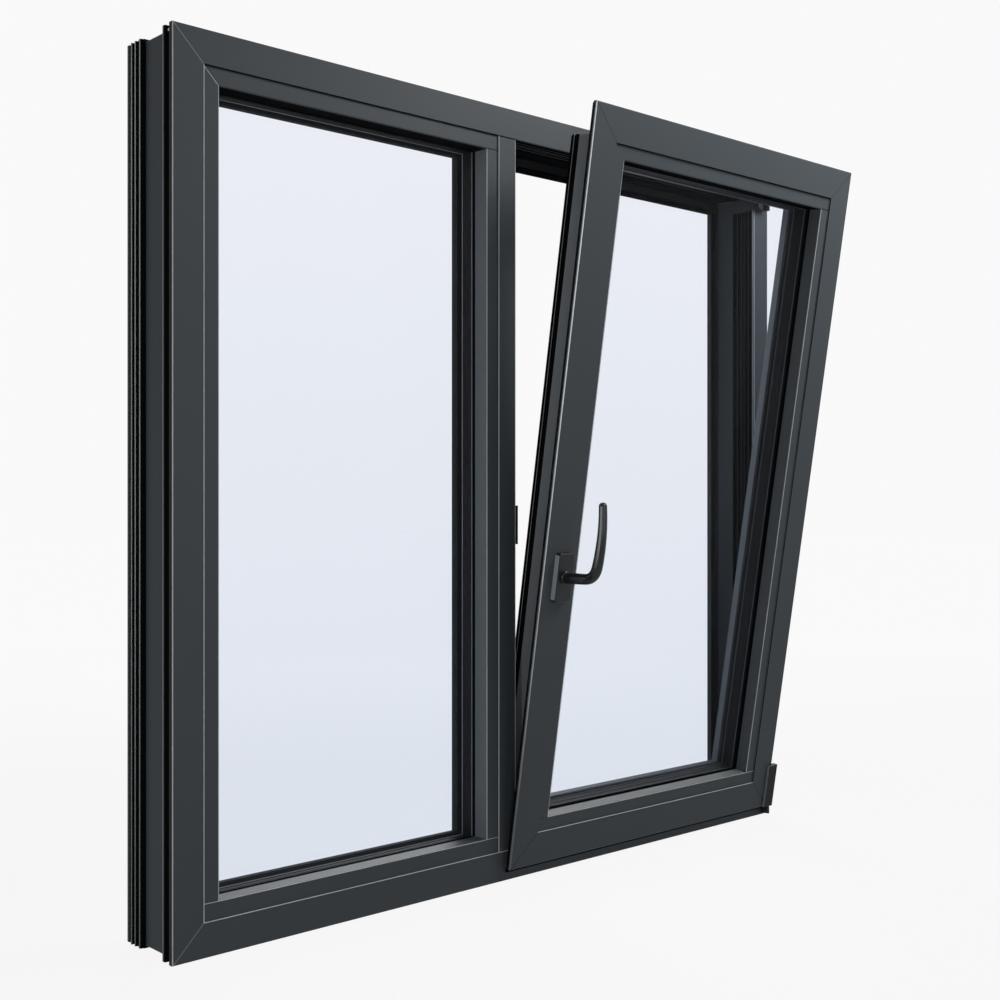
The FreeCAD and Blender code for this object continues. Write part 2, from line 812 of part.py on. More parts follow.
def lever_path(sketch):
    """Draws the rising neck, the bend and the wide arc of the grip."""
    lift = math.radians(cell("neck_lift").number)
    lean = math.radians(cell("lever_lean").number)
    bend = cell("handle_bend")
    grip = cell("grip_radius")
    length = cell("lever_length")
    bend_out = bend * (turned("cos", "lever_lean") - turned("sin", "neck_lift"))
    start = cell("collar_depth")
    neck = cell("handle_out") - cell("rosette_depth") - running_gap - start - bend_out
    neck_rise = neck * turned("tan", "neck_lift")
    bend_rise = bend * (turned("cos", "neck_lift") - turned("sin", "lever_lean"))
    neck_foot = FreeCAD.Vector(-start.number, 0, 0)
    neck_end = neck_foot + FreeCAD.Vector(-neck.number, neck_rise.number, 0)
    bend_centre = neck_end + FreeCAD.Vector(math.sin(lift), math.cos(lift), 0) * bend.number
    facing = FreeCAD.Vector(-math.cos(lean), -math.sin(lean), 0)
    grip_centre = bend_centre + facing * (bend - grip).number
    grip_end = math.asin((length.number - grip_centre.y) / grip.number)
    normal = FreeCAD.Vector(0, 0, 1)
    bend_circle = Part.Circle(bend_centre, normal, bend.number)
    grip_circle = Part.Circle(grip_centre, normal, grip.number)
    sketch.addGeometry(Part.LineSegment(neck_foot, neck_end), False)
    sketch.addGeometry(Part.ArcOfCircle(bend_circle, math.pi + lean, math.pi * 1.5 - lift), False)
    sketch.addGeometry(Part.ArcOfCircle(grip_circle, math.pi - grip_end, math.pi + lean), False)
    sketch.addConstraint(Sketcher.Constraint("PointOnObject", 0, 1, -1))
    sketch.addConstraint(Sketcher.Constraint("Tangent", 0, 2, 1, 2))
    sketch.addConstraint(Sketcher.Constraint("Tangent", 1, 1, 2, 2))
    bind(sketch, start, Sketcher.Constraint("DistanceX", 0, 1, -1, 1, start.number))
    bind(sketch, neck, Sketcher.Constraint("DistanceX", 0, 2, 0, 1, neck.number))
    bind(sketch, neck_rise, Sketcher.Constraint("DistanceY", -1, 1, 0, 2, neck_rise.number))
    bind(sketch, bend, Sketcher.Constraint("Radius", 1, bend.number))
    bind(sketch, grip, Sketcher.Constraint("Radius", 2, grip.number))
    rise = neck_rise + bend_rise
    bind(sketch, rise, Sketcher.Constraint("DistanceY", -1, 1, 1, 1, rise.number))
    bind(sketch, length, Sketcher.Constraint("DistanceY", -1, 1, 2, 1, length.number))


def lever():
    """An oval grip swept along its path, on a round stub that stands on the turning axis."""
    body = doc.addObject("PartDesign::Body", "handle_lever")
    path = new_sketch(body, "YZ_Plane", "lever_path")
    lever_path(path)
    section = new_sketch(body, "XZ_Plane", "grip_section")
    section.AttachmentOffset = FreeCAD.Placement(
        FreeCAD.Vector(0, 0, cell("collar_depth").number),
        FreeCAD.Rotation(FreeCAD.Vector(-1, 0, 0), cell("neck_lift").number),
    )
    section.setExpression("AttachmentOffset.Base.z", cell("collar_depth").text)
    section.setExpression("AttachmentOffset.Rotation.Angle", cell("neck_lift").text + " * 1 deg")
    oval(section, cell("grip_half_width"), cell("grip_half_thick"))
    doc.recompute()
    pipe = body.newObject("PartDesign::AdditivePipe", "lever_pipe")
    pipe.Profile = section
    pipe.Spine = path
    tip = (cell("lever_length") - cell("grip_half_thick") / 2).number
    round_off(
        body, pipe, cell("tip_round"), "lever_tip_rounding", lambda room: room.ZMin > tip
    )
    flank = new_sketch(body, "YZ_Plane", "neck_flank")
    collar = -cell("collar_depth")
    straight = -cell("neck_straight")
    outline(
        flank,
        [
            (0, 0),
            (0, cell("collar_radius")),
            (collar, cell("collar_radius")),
            (collar, cell("neck_radius")),
            (straight, cell("neck_radius")),
            (straight, 0),
        ],
    )
    stub = body.newObject("PartDesign::Revolution", "neck_stub")
    stub.Profile = flank
    stub.ReferenceAxis = (flank, ["H_Axis"])
    stub.Angle = 360
    flank.Visibility = False
    return body


lever_foot = sash_front - cell("rosette_depth") - running_gap
place(lever(), "handle_lever", (handle_x, lever_foot, handle_z), True)

doc.recompute()
for item in doc.Objects:
    broken = [state for state in item.State if state in ("Invalid", "Error")]
    if broken:
        raise RuntimeError("%s is %s" % (item.Label, broken))
for part in subparts:
    if part.Shape.isNull() or not part.Shape.isValid():
        raise RuntimeError("%s has no valid shape" % part.Label)
    part.Shape.exportStep("parts/%s.step" % part.Label)

print("stay ratio %.5f" % (-math.degrees(arm_swing) / cell("tilt_angle").number))
print("turn axis", (hinge_x.number - origin.x, hinge_y.number - origin.y))
print("tilt axis", (hinge_y.number - origin.y, tilt_z.number - origin.z))
print("%d sub-parts written" % len(subparts))
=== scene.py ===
import json
import math
import bpy
import numpy as np
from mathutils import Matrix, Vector


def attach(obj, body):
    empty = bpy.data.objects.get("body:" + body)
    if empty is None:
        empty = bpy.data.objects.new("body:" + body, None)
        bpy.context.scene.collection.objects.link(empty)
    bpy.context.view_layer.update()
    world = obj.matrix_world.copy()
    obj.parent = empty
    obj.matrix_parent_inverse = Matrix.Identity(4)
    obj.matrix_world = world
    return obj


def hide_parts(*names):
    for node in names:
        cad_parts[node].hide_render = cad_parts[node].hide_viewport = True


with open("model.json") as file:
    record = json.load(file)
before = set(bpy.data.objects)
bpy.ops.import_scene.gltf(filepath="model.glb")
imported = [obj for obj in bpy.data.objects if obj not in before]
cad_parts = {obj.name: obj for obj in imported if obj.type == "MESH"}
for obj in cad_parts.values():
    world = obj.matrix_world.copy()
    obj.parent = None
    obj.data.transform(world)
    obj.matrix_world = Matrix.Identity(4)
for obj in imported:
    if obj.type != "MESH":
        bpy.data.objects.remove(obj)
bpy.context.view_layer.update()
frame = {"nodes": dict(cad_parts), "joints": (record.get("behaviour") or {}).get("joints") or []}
nodes = frame["nodes"]
joints = {joint["name"]: joint for joint in frame["joints"]}
print("frame loaded,", len(nodes), "solids")


def points(name):
    co = np.empty(len(nodes[name].data.vertices) * 3, np.float32)
    nodes[name].data.vertices.foreach_get("co", co)
    return co.reshape(-1, 3).astype(float)


# the sash is drawn tilted, so its own upright place is found by turning it back on its axle
tilt = dict(
    angle=math.radians(joints["sash_tilt"]["range_deg"][1]),
    axis=np.array(joints["sash_tilt"]["pos_m"], float),
)


def leanTurn(angle):
    c, s = math.cos(angle), math.sin(angle)
    return np.array([[1, 0, 0], [0, c, s], [0, -s, c]])


leanBack = leanTurn(tilt["angle"])


def upright(p):
    return (p - tilt["axis"]) @ leanBack.T + tilt["axis"]


def leaned(p):
    return (p - tilt["axis"]) @ leanBack + tilt["axis"]


def extent(names, straighten=False):
    p = np.concatenate([points(n) for n in names])
    p = upright(p) if straighten else p
    return p.min(0), p.max(0)


def around(node, straighten=False):   # a node's corners as lowX, highX, lowY, highY, lowZ, highZ
    low, high = extent([node], straighten)
    return low[0], high[0], low[1], high[1], low[2], high[2]


def aroundSash(node):   # the same for a sash node, with the sash stood upright
    return around(node, straighten=True)


frameNames = ["frame_sill", "frame_head", "frame_left_jamb", "frame_right_jamb"]
sashNames = ["sash_bottom_rail", "sash_top_rail", "sash_left_stile", "sash_right_stile"]
frameLow, frameHigh = extent(frameNames)
sashLow, sashHigh = extent(sashNames, straighten=True)
print("frame", np.round(frameLow, 4), np.round(frameHigh, 4))
print("sash", np.round(sashLow, 4), np.round(sashHigh, 4))


# materials

def newMaterial(name, look):
    mat = bpy.data.materials.new(name)
    mat.use_nodes = True
    shader = mat.node_tree.nodes["Principled BSDF"]
    shader.inputs["Base Color"].default_value = (*look["colour"], 1)
    shader.inputs["Roughness"].default_value = look["roughness"]
    shader.inputs["Specular IOR Level"].default_value = look.get("specular", 0.5)
    shader.inputs["Metallic"].default_value = look.get("metallic", 0.0)
    shader.inputs["Transmission Weight"].default_value = look.get("clear", 0.0)
    shader.inputs["IOR"].default_value = look.get("ior", 1.5)
    return mat


def maths(mat, kind, a, b=0.0):
    node = mat.node_tree.nodes.new("ShaderNodeMath")
    node.operation = kind
    for socket, value in zip(node.inputs, (a, b)):
        if isinstance(value, (int, float)):
            socket.default_value = value
        else:
            mat.node_tree.links.new(value, socket)
    return node.outputs[0]


def tint(mat, share, colour):   # mixes another colour over what the shader's base colour has now
    links = mat.node_tree.links
    base = mat.node_tree.nodes["Principled BSDF"].inputs["Base Color"]
    mix = mat.node_tree.nodes.new("ShaderNodeMix")
    mix.data_type = "RGBA"
    under = [socket for socket in mix.inputs if socket.type == "RGBA"]
    if base.is_linked:
        links.new(base.links[0].from_socket, under[0])
    else:
        under[0].default_value = base.default_value
    under[1].default_value = (*colour, 1)
    links.new(share, mix.inputs[0])
    links.new([socket for socket in mix.outputs if socket.type == "RGBA"][0], base)


def addGrain(mat, look):   # fine powder texture: a small bump and a slow drift of the tone
    tree, links = mat.node_tree.nodes, mat.node_tree.links
    place = tree.new("ShaderNodeTexCoord")
    noise = tree.new("ShaderNodeTexNoise")
    noise.inputs["Scale"].default_value = 1 / look["size"]
    noise.inputs["Detail"].default_value = look["detail"]
    bump = tree.new("ShaderNodeBump")
    bump.inputs["Strength"].default_value = look["strength"]
    bump.inputs["Distance"].default_value = look["depth"]
    links.new(place.outputs["Object"], noise.inputs["Vector"])
    links.new(noise.outputs["Fac"], bump.inputs["Height"])
    links.new(bump.outputs["Normal"], tree["Principled BSDF"].inputs["Normal"])
    drift = tree.new("ShaderNodeTexNoise")
    drift.inputs["Scale"].default_value = 1 / look["patch"]
    drift.inputs["Detail"].default_value = look["patchDetail"]
    links.new(place.outputs["Object"], drift.inputs["Vector"])
    base = tree["Principled BSDF"].inputs["Base Color"].default_value
    share = maths(mat, "MULTIPLY", drift.outputs["Fac"], look["drift"])
    tint(mat, share, [v * look["lighter"] for v in base[:3]])


def facePlan(mat, low, high, lean=0.0):
    # distance in from the nearest side, in from the nearest end, and back from the room face
    tree, links = mat.node_tree.nodes, mat.node_tree.links
    place = tree.new("ShaderNodeTexCoord")
    mapping = tree.new("ShaderNodeMapping")
    turn = leanTurn(lean)
    middle, half = (low + high) / 2, (high - low) / 2
    mapping.inputs["Rotation"].default_value = (-lean, 0, 0)
    mapping.inputs["Location"].default_value = tilt["axis"] - turn @ tilt["axis"] - middle
    split = tree.new("ShaderNodeSeparateXYZ")
    links.new(place.outputs["Object"], mapping.inputs["Vector"])
    links.new(mapping.outputs["Vector"], split.inputs["Vector"])
    side = maths(mat, "SUBTRACT", float(half[0]), maths(mat, "ABSOLUTE", split.outputs["X"]))
    end = maths(mat, "SUBTRACT", float(half[2]), maths(mat, "ABSOLUTE", split.outputs["Z"]))
    return side, end, maths(mat, "ADD", split.outputs["Y"], float(half[1]))


def addMitres(mat, plan, look):   # the two distances are equal along the four corner joints
    side, end = plan[:2]
    apart = maths(mat, "ABSOLUTE", maths(mat, "SUBTRACT", side, end))
    line = maths(mat, "LESS_THAN", apart, look["width"])
    line = maths(mat, "MULTIPLY", line, maths(mat, "LESS_THAN", side, look["reach"]))
    tint(mat, line, look["colour"])


def addReturnShade(mat, plan, look):   # painted shade: black on the narrow outer side of the lip, behind its front edge
    side, end, depth = plan
    share = maths(mat, "LESS_THAN", maths(mat, "MINIMUM", side, end), look["skin"])
    share = maths(mat, "MULTIPLY", share, maths(mat, "GREATER_THAN", depth, look["front"]))
    share = maths(mat, "MULTIPLY", share, maths(mat, "LESS_THAN", depth, look["back"]))
    tint(mat, share, look["colour"])


def addFacingLightShade(mat, look, plan=None):   # painted light or shade: another tone on the faces that look one way, or only those behind a depth
    tree, links = mat.node_tree.nodes, mat.node_tree.links
    place = tree.new("ShaderNodeTexCoord")
    split = tree.new("ShaderNodeSeparateXYZ")
    links.new(place.outputs["Normal"], split.inputs["Vector"])
    towards = maths(mat, "MULTIPLY", split.outputs[look["axis"]], look["way"])
    share = maths(mat, "GREATER_THAN", towards, look["limit"])
    if plan:
        share = maths(mat, "MULTIPLY", share, maths(mat, "GREATER_THAN", plan[2], look["behind"]))
    tint(mat, share, look["colour"])


coatLook = dict(colour=(0.0395, 0.046, 0.0515), roughness=0.5, specular=0.08)
grainLook = dict(   # size, depth and patch in metres
    size=0.0006, detail=2, depth=0.00003, strength=0.35,
    patch=0.25, patchDetail=3, drift=0.18, lighter=1.7,
)
# painted light: faces that look up are tinted lighter, as if lit from above
ledgeLightLook = dict(axis="Z", way=1, limit=0.9, colour=(0.094, 0.101, 0.101))
# painted light: faces that look left are tinted lighter, as if lit from the left
revealLightLook = dict(axis="X", way=-1, limit=0.9, colour=(0.098, 0.110, 0.120))
# painted shade: faces that look down are made dull black, as if no light reaches them
soffitShadeLook = dict(
    nodes=("frame_head", "fixed_bead_top", "sash_bead_top"), limit=0.9,
    coat=dict(colour=(0.007, 0.0075, 0.008), roughness=0.9, specular=0.0),
)
# painted shade: room-facing faces set far back are tinted darker, as if in shadow
stopShadeLook = dict(axis="Y", way=-1, limit=0.9, colour=(0.012, 0.013, 0.014), behind=0.05)
# painted shade: black on the lips' outer returns, behind their front edges
frameReturnShade = dict(skin=0.0003, front=0.0024, back=0.0085, colour=(0.004, 0.0042, 0.0046))
sashReturnShade = dict(skin=0.0003, front=0.003, back=0.013, colour=(0.004, 0.0042, 0.0046))
frameMitre = dict(width=0.0007, reach=0.0445, colour=(0.16, 0.172, 0.176))
sashMitre = dict(width=0.0006, reach=0.0505, colour=(0.008, 0.009, 0.010))

frameCoat = newMaterial("powderCoatFrame", coatLook)
sashCoat = newMaterial("powderCoatSash", coatLook)
plainCoat = newMaterial("powderCoat", coatLook)
beadCoat = newMaterial("powderCoatBead", coatLook)
sashBeadCoat = newMaterial("powderCoatSashBead", coatLook)
for mat in (frameCoat, sashCoat, plainCoat, beadCoat, sashBeadCoat):
    addGrain(mat, grainLook)
framePlan = facePlan(frameCoat, frameLow, frameHigh)
sashPlan = facePlan(sashCoat, sashLow, sashHigh, tilt["angle"])
addMitres(frameCoat, framePlan, frameMitre)
addMitres(sashCoat, sashPlan, sashMitre)
# painted light: the sash's left-facing sides are tinted lighter
addFacingLightShade(sashCoat, dict(revealLightLook, colour=(0.140, 0.152, 0.160)))
# painted shade on the frame's and the sash's lip returns
addReturnShade(frameCoat, framePlan, frameReturnShade)
addReturnShade(sashCoat, sashPlan, sashReturnShade)
# painted light: the beads' left-facing sides are tinted lighter
addFacingLightShade(beadCoat, revealLightLook)
# painted light on the sash beads' up-facing ledges
addFacingLightShade(sashBeadCoat, ledgeLightLook)
addFacingLightShade(sashBeadCoat, dict(revealLightLook, colour=(0.048, 0.054, 0.059)))
# painted shade on the frame's deep room-facing faces
addFacingLightShade(frameCoat, stopShadeLook, framePlan)

handleLook = dict(colour=(0.011, 0.013, 0.015), roughness=0.3, specular=0.2)
handleCoat = newMaterial("handleCoat", dict(handleLook, roughness=0.17, specular=0.22))
rosetteCoat = newMaterial("rosetteCoat", handleLook)
coverCoat = newMaterial("coverCoat", dict(handleLook, specular=0.05))
# painted light: the rosette's and the hinge cover's left-facing sides are tinted lighter
addFacingLightShade(rosetteCoat, dict(revealLightLook, colour=(0.25, 0.268, 0.28)))
addFacingLightShade(coverCoat, dict(revealLightLook, colour=(0.15, 0.162, 0.172)))
# painted highlights: these light colours on thin rods stand in for the light that rounded edges catch
glintHighlight = newMaterial("glintHighlight", dict(colour=(0.70, 0.72, 0.73), roughness=0.3, specular=0.3))
brightHighlight = newMaterial("brightHighlight", dict(colour=(0.36, 0.38, 0.385), roughness=0.4, specular=0.2))
ribEdge = newMaterial("ribEdge", dict(colour=(0.31, 0.33, 0.335), roughness=0.4, specular=0.2))
softHighlight = newMaterial("softHighlight", dict(colour=(0.17, 0.18, 0.187), roughness=0.45, specular=0.2))
faintHighlight = newMaterial("faintHighlight", dict(colour=(0.05, 0.054, 0.058), roughness=0.5, specular=0.1))
sealRubber = newMaterial("sealRubber", dict(colour=(0.0035, 0.0036, 0.004), roughness=0.9, specular=0.0))
greyRubber = newMaterial("greyRubber", dict(colour=(0.032, 0.034, 0.036), roughness=0.8, specular=0.03))
spacerBar = newMaterial("spacerBar", dict(colour=(0.012, 0.013, 0.014), roughness=0.6, specular=0.04))
zincSteel = newMaterial("zincSteel", dict(colour=(0.30, 0.31, 0.32), roughness=0.4, metallic=1.0))
darkZinc = newMaterial("darkZinc", dict(colour=(0.018, 0.020, 0.022), roughness=0.5, specular=0.1))
blackPlastic = newMaterial("blackPlastic", dict(colour=(0.010, 0.011, 0.012), roughness=0.6, specular=0.05))
addGrain(handleCoat, dict(grainLook, size=0.0008, depth=0.00002))
for mat in (glintHighlight, brightHighlight, ribEdge, softHighlight, faintHighlight, darkZinc, zincSteel, spacerBar):
    addGrain(mat, dict(grainLook, size=0.0005, patch=0.05))
for mat in (sealRubber, greyRubber, blackPlastic):
    addGrain(mat, dict(grainLook, size=0.0012, patch=0.03))

# painted shade: the glass's foot tint is darker than its top tint
glassLook = dict(top=(0.9375, 0.949, 0.981), foot=(0.880, 0.906, 0.953), ior=1.06, footShadeRise=0.2)
clearGlass = newMaterial("clearGlass", dict(colour=glassLook["top"], roughness=0.0, clear=1.0, ior=glassLook["ior"]))


def addFootShade(mat, look):   # painted shade: the tint deepens slowly towards the foot
    tree, links = mat.node_tree.nodes, mat.node_tree.links
    place = tree.new("ShaderNodeTexCoord")
    split = tree.new("ShaderNodeSeparateXYZ")
    fall = tree.new("ShaderNodeMapRange")
    fall.inputs["From Min"].default_value = float(look["high"])
    fall.inputs["From Max"].default_value = float(look["low"])
    links.new(place.outputs["Object"], split.inputs["Vector"])
    links.new(split.outputs["Z"], fall.inputs["Value"])
    tint(mat, fall.outputs["Result"], look["foot"])


# painted shade: the glass tint, and the painted highlights on the lip and ribs, darken towards the foot
addFootShade(clearGlass, dict(foot=glassLook["foot"], low=frameLow[2] + glassLook["footShadeRise"], high=frameHigh[2]))
addFootShade(glintHighlight, dict(foot=(0.10, 0.107, 0.11), low=0.1, high=0.7))
addFootShade(ribEdge, dict(foot=(0.13, 0.139, 0.143), low=0.1, high=1.0))

for name, node in nodes.items():
    if name.endswith("_pane"):
        mat = clearGlass
        node.visible_shadow = False   # daylight passes through, so the panes throw no shadow
    elif name.endswith("outer_gasket"):
        mat = greyRubber
    elif "gasket" in name or "seal" in name:
        mat = sealRubber
    elif "spacer" in name:
        mat = spacerBar
    elif name in frameNames:
        mat = frameCoat
    elif name in sashNames:
        mat = sashCoat
    elif name == "handle_rosette":
        mat = rosetteCoat
    elif name == "hinge_cover":
        mat = coverCoat
    elif name == "handle_lever":
        mat = handleCoat
    elif name == "mullion_keep":
        mat = blackPlastic
    elif name == "stay_arm" or "hinge" in name:
        mat = darkZinc
    elif "bead" in name:
        mat = sashBeadCoat if name.startswith("sash") else beadCoat
    else:
        mat = plainCoat
    node.data.materials.clear()
    node.data.materials.append(mat)


def paintSoffitShade(look):   # painted shade: faces that look down get a dull black material of their own, for the shade under them
    mat = newMaterial("soffitShade", look["coat"])
    for name in look["nodes"]:
        mesh = nodes[name].data
        normal = np.empty(len(mesh.polygons) * 3, np.float32)
        mesh.polygons.foreach_get("normal", normal)
        mesh.materials.append(mat)
        mesh.polygons.foreach_set("material_index", (normal[2::3] < -look["limit"]).astype(np.int32))


paintSoffitShade(soffitShadeLook)
print("materials set")


# pieces worked out as surfaces

def addPiece(name, verts, quads, caps, mat, body, slot, stands=(), sharp=35):
    # a positive enclosed volume, the sum of a.(b x c)/6 over the faces, means that they face outwards
    a, b, d = (verts[quads[:, k]] for k in (0, 1, 2))
    e = verts[quads[:, 3]]
    volume = (a * np.cross(b, d)).sum() + (a * np.cross(d, e)).sum()
    if volume < 0:
        quads = quads[:, ::-1]
        caps = [cap[::-1] for cap in caps]
    mesh = bpy.data.meshes.new(name)
    mesh.from_pydata(verts.tolist(), [], quads.tolist() + [list(map(int, cap)) for cap in caps])
    mesh.shade_smooth()
    mesh.set_sharp_from_angle(angle=math.radians(sharp))
    mesh.materials.append(mat)
    piece = bpy.data.objects.new(name, mesh)
    bpy.context.scene.collection.objects.link(piece)
    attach(piece, body)
    if stands:
        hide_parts(*stands)


def gridQuads(rows, cols, first=0, closeRows=False):   # quads between neighbouring rows of a grid of closed rings
    i = np.arange(rows if closeRows else rows - 1)[:, None]
    j = np.arange(cols)[None, :]
    k, n = (i + 1) % rows, (j + 1) % cols
    return first + np.stack([i * cols + j, i * cols + n, k * cols + n, k * cols + j], -1).reshape(-1, 4)


def endCaps(rows, cols):   # closes the first and the last ring of such a grid
    return [np.arange(cols)[::-1], np.arange(cols) + (rows - 1) * cols]


def hoop(box, profile):
    # a profile of (inset, depth) in mm carried round a rectangle: corner moved in by the inset, back by the depth
    p = np.asarray(profile, float) / 1000
    x = np.stack([box[0] + p[:, 0], box[1] - p[:, 0], box[1] - p[:, 0], box[0] + p[:, 0]])
    z = np.stack([box[4] + p[:, 0], box[4] + p[:, 0], box[5] - p[:, 0], box[5] - p[:, 0]])
    y = np.broadcast_to(box[2] + p[:, 1], x.shape)
    return np.stack([x, y, z], -1).reshape(-1, 3), gridQuads(4, len(p), closeRows=True)


def roundBead(inset, depth, radius, sides=12):   # a round profile for hoop
    turn = np.linspace(0, 2 * np.pi, sides, endpoint=False)
    return np.stack([inset + radius * np.cos(turn), depth + radius * np.sin(turn)], -1)


def rods(segments, radius, sides=10):
    # round rods: each end point plus radius times (cos a, sin a) on two directions square to the run
    seg = np.asarray(segments, float) / 1000
    run = seg[:, 1] - seg[:, 0]
    run /= np.linalg.norm(run, axis=1)[:, None]
    u = np.cross(run, np.array([0.0, 1.0, 0.0]))
    u /= np.linalg.norm(u, axis=1)[:, None]
    v = np.cross(run, u)
    turn = np.linspace(0, 2 * np.pi, sides, endpoint=False)
    ring = (np.cos(turn)[:, None] * u[:, None] + np.sin(turn)[:, None] * v[:, None]) * radius / 1000
    verts = (seg[:, :, None] + ring[:, None]).reshape(-1, 3)
    quads = np.concatenate([gridQuads(2, sides, k * 2 * sides) for k in range(len(seg))])
    caps = [cap + k * 2 * sides for k in range(len(seg)) for cap in endCaps(2, sides)]
    return verts, quads, caps


# rubber seals and spacer bars, each with the lips and ribs of its own section

gasketSection = [(0, 0), (9.2, 0), (10, 0.9), (9, 1.7), (10, 2.6), (9, 3.3), (9.6, 4), (0, 4)]
spacerSection = [(0, 0), (11, 0), (11, 2.2), (10.3, 2.8), (10.3, 10.6), (10.9, 11.1), (10.9, 12.9),
                 (10.3, 13.4), (10.3, 21.2), (11, 21.8), (11, 24), (0, 24)]
sealProfiles = dict(   # inset and depth in mm, from the outer front corner of the solid that each replaces
    flange_seal=[(11, 0), (0.6, 0), (0, 0.8), (0, 3.0), (1.4, 3.8), (0, 4.6), (0, 7.2), (-0.6, 8.2), (-2.2, 9.6),
                 (-2.4, 10.6), (-2.4, 12), (11, 12)],
    sash_edge_seal=[(4.5, 0), (1.5, 0), (1.5, 2), (0.4, 2.8), (0, 4.1), (0.4, 5.4), (1.5, 6.2), (1.5, 9),
                    (0.4, 9.8), (0, 11.1), (0.4, 12.4), (1.5, 13.2), (1.5, 16), (4.5, 16)],
    overlap_gasket=[(8, 0), (0, 0), (0, 2.2), (1, 4.2), (2.5, 5), (4, 4.2), (5.2, 2.2), (8, 1.6)],
    rebate_gasket=[(0, 6), (0, 4.2), (1.2, 2.6), (1.6, 0.8), (3.2, 0), (4.6, 1.2), (6, 3.6), (8, 4.8), (8, 6)],
    fixed_inner_gasket=gasketSection,
    sash_inner_gasket=gasketSection,
    fixed_spacer=spacerSection,
    sash_spacer=spacerSection,
)
for name, profile in sealProfiles.items():
    onSash = name.startswith(("sash", "overlap"))
    verts, quads = hoop(aroundSash(name) if onSash else around(name), profile)
    spacer = "spacer" in name
    addPiece(
        name + "Ribbed", leaned(verts) if onSash else verts, quads, [], spacerBar if spacer else sealRubber,
        "sash" if onSash else "frame", "spacer_bar" if spacer else "black_seal", [name],
    )

# painted highlights: light rods along the spacer bars' edges
spacerHighlight = dict(inset=11, depths=(1.2, 22.8), radius=0.6)
for k, depth in enumerate(spacerHighlight["depths"]):
    profile = roundBead(spacerHighlight["inset"], depth, spacerHighlight["radius"])
    addPiece("fixedSpacerHighlight%d" % k, *hoop(around("fixed_spacer"), profile), [], softHighlight, "frame", "spacer_bar")
    verts, quads = hoop(aroundSash("sash_spacer"), profile)
    addPiece("sashSpacerHighlight%d" % k, leaned(verts), quads, [], faintHighlight, "sash", "spacer_bar")
print("seals and spacers made")


# rounded edges with painted highlights, and black pieces of painted shade, on the ribs, the channel wall, the seams
# and the lips

outerBox = (frameLow[0], frameHigh[0], frameLow[1], frameHigh[1], frameLow[2], frameHigh[2])
ribHighlightLook = dict(inset=2.2, radius=1.3, middles=(84.2, 95.9, 105.6))
ribShadeCover = dict(top=1.75, foot=2.8, runs=((80.5, 87.7), (92.1, 97.9), (102.3, 107.5)))
grooveShadeLook = dict(top=2.7, foot=13.9, dip=1, runs=((76.1, 80.5), (87.7, 92.1), (97.9, 102.3), (107.5, 111.9)))
# the channel wall: the seal run is a black strip of painted shade, the edge run a bright bead of painted highlight
wallShadeAndHighlight = dict(
    seal=[(1.2, 20.1), (0.35, 20.3), (0.3, 21.2), (0.35, 22.1), (1.2, 22.2)],
    edge=[(1.2, 22.2), (0.35, 22.5), (0.25, 23.5), (0.35, 24.6), (1.2, 24.9)],
)
for k, middle in enumerate(ribHighlightLook["middles"]):   # each front rib wears a black cap as painted shade, with one bright bead as a painted highlight
    profile = roundBead(ribHighlightLook["inset"], middle, ribHighlightLook["radius"])
    addPiece("ribEdge%d" % k, *hoop(outerBox, profile), [], ribEdge, "frame", "frame_coat")
    (front, back), top, foot = ribShadeCover["runs"][k], ribShadeCover["top"], ribShadeCover["foot"]
    profile = [(foot, front), (top, front), (top, back), (foot, back)]
    addPiece("ribShadeCap%d" % k, *hoop(outerBox, profile), [], sealRubber, "frame", "black_seal")
for k, (front, back) in enumerate(grooveShadeLook["runs"]):   # painted shade: a black strip set down in each groove between the ribs
    top, foot = grooveShadeLook["top"], grooveShadeLook["foot"]
    dip = (top + grooveShadeLook["dip"], (front + back) / 2)
    profile = [(foot, front), (top, front), dip, (top, back), (foot, back)]
    addPiece("grooveShadeStrip%d" % k, *hoop(outerBox, profile), [], sealRubber, "frame", "black_seal")
# painted shade and painted highlight on the channel wall
addPiece("channelWallShade", *hoop(outerBox, wallShadeAndHighlight["seal"]), [], sealRubber, "frame", "black_seal")
addPiece("channelWallHighlight", *hoop(outerBox, wallShadeAndHighlight["edge"]), [], softHighlight, "frame", "frame_coat")

